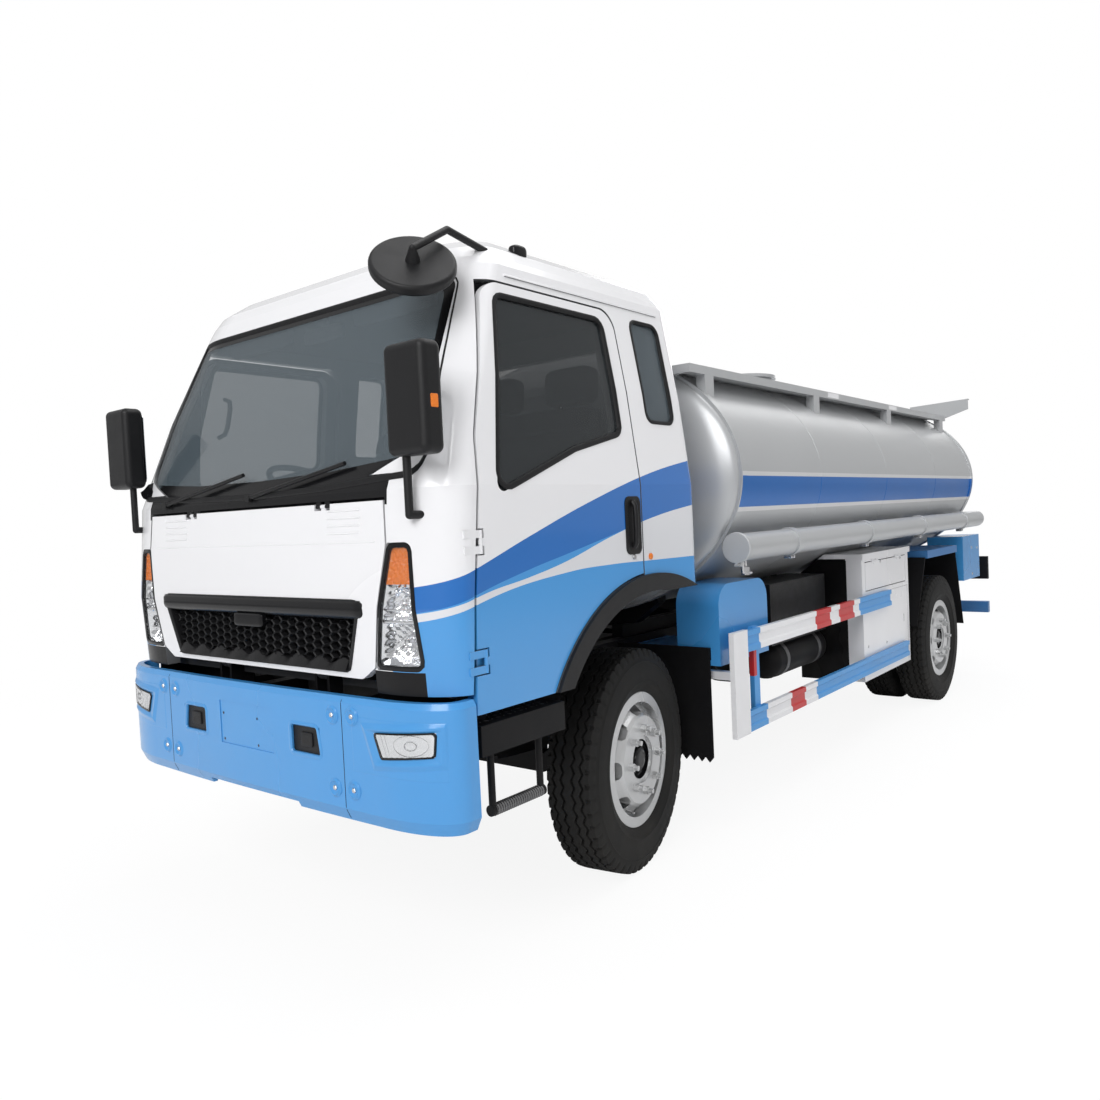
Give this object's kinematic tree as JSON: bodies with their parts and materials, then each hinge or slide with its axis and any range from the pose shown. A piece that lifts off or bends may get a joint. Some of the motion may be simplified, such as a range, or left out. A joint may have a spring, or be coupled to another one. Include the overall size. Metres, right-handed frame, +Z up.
{
  "type": "tanker truck",
  "caption": "Two-axle tanker truck with a tilting cab, an elliptical tank with walkways, side guards, a side cabinet and twin rear wheels.",
  "frame": {"origin": "on the ground at the middle of the truck's length and width", "axes": "+X to the truck's left, +Y to its rear, +Z up"},
  "size_m": [2.34, 7.0149, 2.622],
  "materials": {
    "cab_paint": "gloss",
    "white_paint": "satin",
    "tank_paint": "gloss",
    "blue_paint": "satin",
    "chassis_paint": "satin",
    "rim_paint": "satin",
    "iron": "rough",
    "rubber": "matte",
    "tyre": "matte",
    "black_plastic": "matte",
    "cabin_plastic": "matte",
    "seat_fabric": "woven",
    "glass": "tinted",
    "lens": "gloss",
    "red_lens": "gloss"
  },
  "bodies": {
    "chassis": {"frame_rails": "chassis_paint", "cross_members": "chassis_paint", "bumper": "blue_paint", "fog_lamps": "lens", "engine": "iron", "axles": "chassis_paint", "leaf_springs": "chassis_paint", "steps": "chassis_paint", "cab_mounts": "chassis_paint", "tank": "tank_paint", "tank_saddles": "blue_paint", "walkway": "tank_paint", "rear_wings": "tank_paint", "rear_ladder": "blue_paint", "hose_tubes": "tank_paint", "side_guard_rails": "white_paint", "side_guard_posts": "white_paint", "cabinet": "white_paint", "battery_box": "black_plastic", "fuel_tank": "chassis_paint", "lockers": "blue_paint", "rear_fenders": "blue_paint", "mudflaps": "rubber", "lamp_bar": "chassis_paint", "tail_lamps": "red_lens", "rear_underrun": "blue_paint"},
    "cabinet_door": {"cabinet_flap": "white_paint"},
    "hose_lid_left": {"hose_cap_left": "tank_paint"},
    "hose_lid_right": {"hose_cap_right": "tank_paint"},
    "manhole": {"manhole_lid": "tank_paint"},
    "steer_left": {"knuckle_left": "chassis_paint"},
    "steer_right": {"knuckle_right": "chassis_paint"},
    "wheel_front_left": {"tyre_front_left": "tyre", "rim_front_left": "rim_paint"},
    "wheel_front_right": {"tyre_front_right": "tyre", "rim_front_right": "rim_paint"},
    "wheel_rear_left": {"tyres_rear_left": "tyre", "rims_rear_left": "rim_paint"},
    "wheel_rear_right": {"tyres_rear_right": "tyre", "rims_rear_right": "rim_paint"},
    "cab": {"cab_floor": "chassis_paint", "cab_side_left": "cab_paint", "cab_side_right": "cab_paint", "cab_back": "cab_paint", "cab_roof": "cab_paint", "cab_front": "cab_paint", "headlamps": "lens", "cab_glass": "glass", "seats": "seat_fabric", "dashboard": "cabin_plastic", "steering_wheel": "black_plastic", "wheel_arch_trims": "black_plastic", "mirrors": "black_plastic", "wipers": "black_plastic"},
    "front_flap": {"front_panel": "white_paint", "grille": "black_plastic"},
    "side_door_left": {"door_left": "cab_paint", "door_glass_left": "glass"},
    "side_door_right": {"door_right": "cab_paint", "door_glass_right": "glass"}
  },
  "joints": [
    {"name": "steer_left", "type": "hinge", "parent": "chassis", "child": "steer_left", "pos_m": [0.74, -2.1925, 0.487], "axis": [0, 0, 1], "range_deg": [-42.6, 25.4]},
    {"name": "steer_right", "type": "hinge", "parent": "chassis", "child": "steer_right", "pos_m": [-0.74, -2.1925, 0.487], "axis": [0, 0, 1], "range_deg": [-42.6, 25.4]},
    {"name": "wheel_front_left_spin", "type": "hinge", "parent": "steer_left", "child": "wheel_front_left", "pos_m": [0.82948, -2.17897, 0.487], "axis": [0.9888, 0.1495, 0], "continuous": true},
    {"name": "wheel_front_right_spin", "type": "hinge", "parent": "steer_right", "child": "wheel_front_right", "pos_m": [-0.82948, -2.20603, 0.487], "axis": [0.9888, 0.1495, 0], "continuous": true},
    {"name": "wheel_rear_left_spin", "type": "hinge", "parent": "chassis", "child": "wheel_rear_left", "pos_m": [1.0075, 1.8375, 0.487], "axis": [1, 0, 0], "continuous": true},
    {"name": "wheel_rear_right_spin", "type": "hinge", "parent": "chassis", "child": "wheel_rear_right", "pos_m": [-1.0075, 1.8375, 0.487], "axis": [1, 0, 0], "continuous": true},
    {"name": "cab_tilt", "type": "hinge", "parent": "chassis", "child": "cab", "pos_m": [0, -3.3525, 1.03], "axis": [1, 0, 0], "range_deg": [0, 45]},
    {"name": "front_flap_lift", "type": "hinge", "parent": "cab", "child": "front_flap", "pos_m": [0, -3.4185, 1.647], "axis": [-1, 0, 0], "range_deg": [0, 80]},
    {"name": "door_left_swing", "type": "hinge", "parent": "cab", "child": "side_door_left", "pos_m": [1.045, -3.2425, 1.1], "axis": [0, 0, -1], "range_deg": [0, 70]},
    {"name": "door_right_swing", "type": "hinge", "parent": "cab", "child": "side_door_right", "pos_m": [-1.045, -3.2425, 1.1], "axis": [0, 0, 1], "range_deg": [0, 70]},
    {"name": "cabinet_door_lift", "type": "hinge", "parent": "chassis", "child": "cabinet_door", "pos_m": [1.0573, 0.7825, 1.177], "axis": [0, -1, 0], "range_deg": [0, 90]},
    {"name": "hose_lid_left_drop", "type": "hinge", "parent": "chassis", "child": "hose_lid_left", "pos_m": [1.094, -1.4925, 1.295], "axis": [1, 0, 0], "range_deg": [0, 110]},
    {"name": "hose_lid_right_drop", "type": "hinge", "parent": "chassis", "child": "hose_lid_right", "pos_m": [-1.094, -1.4925, 1.295], "axis": [1, 0, 0], "range_deg": [0, 110]},
    {"name": "manhole_lift", "type": "hinge", "parent": "chassis", "child": "manhole", "pos_m": [0, 1.0615, 2.5313], "axis": [-1, 0, 0], "range_deg": [0, 100]}
  ],
  "couplings": [
    {"joint": "steer_right", "follows": "steer_left", "ratio": 1}
  ]
}
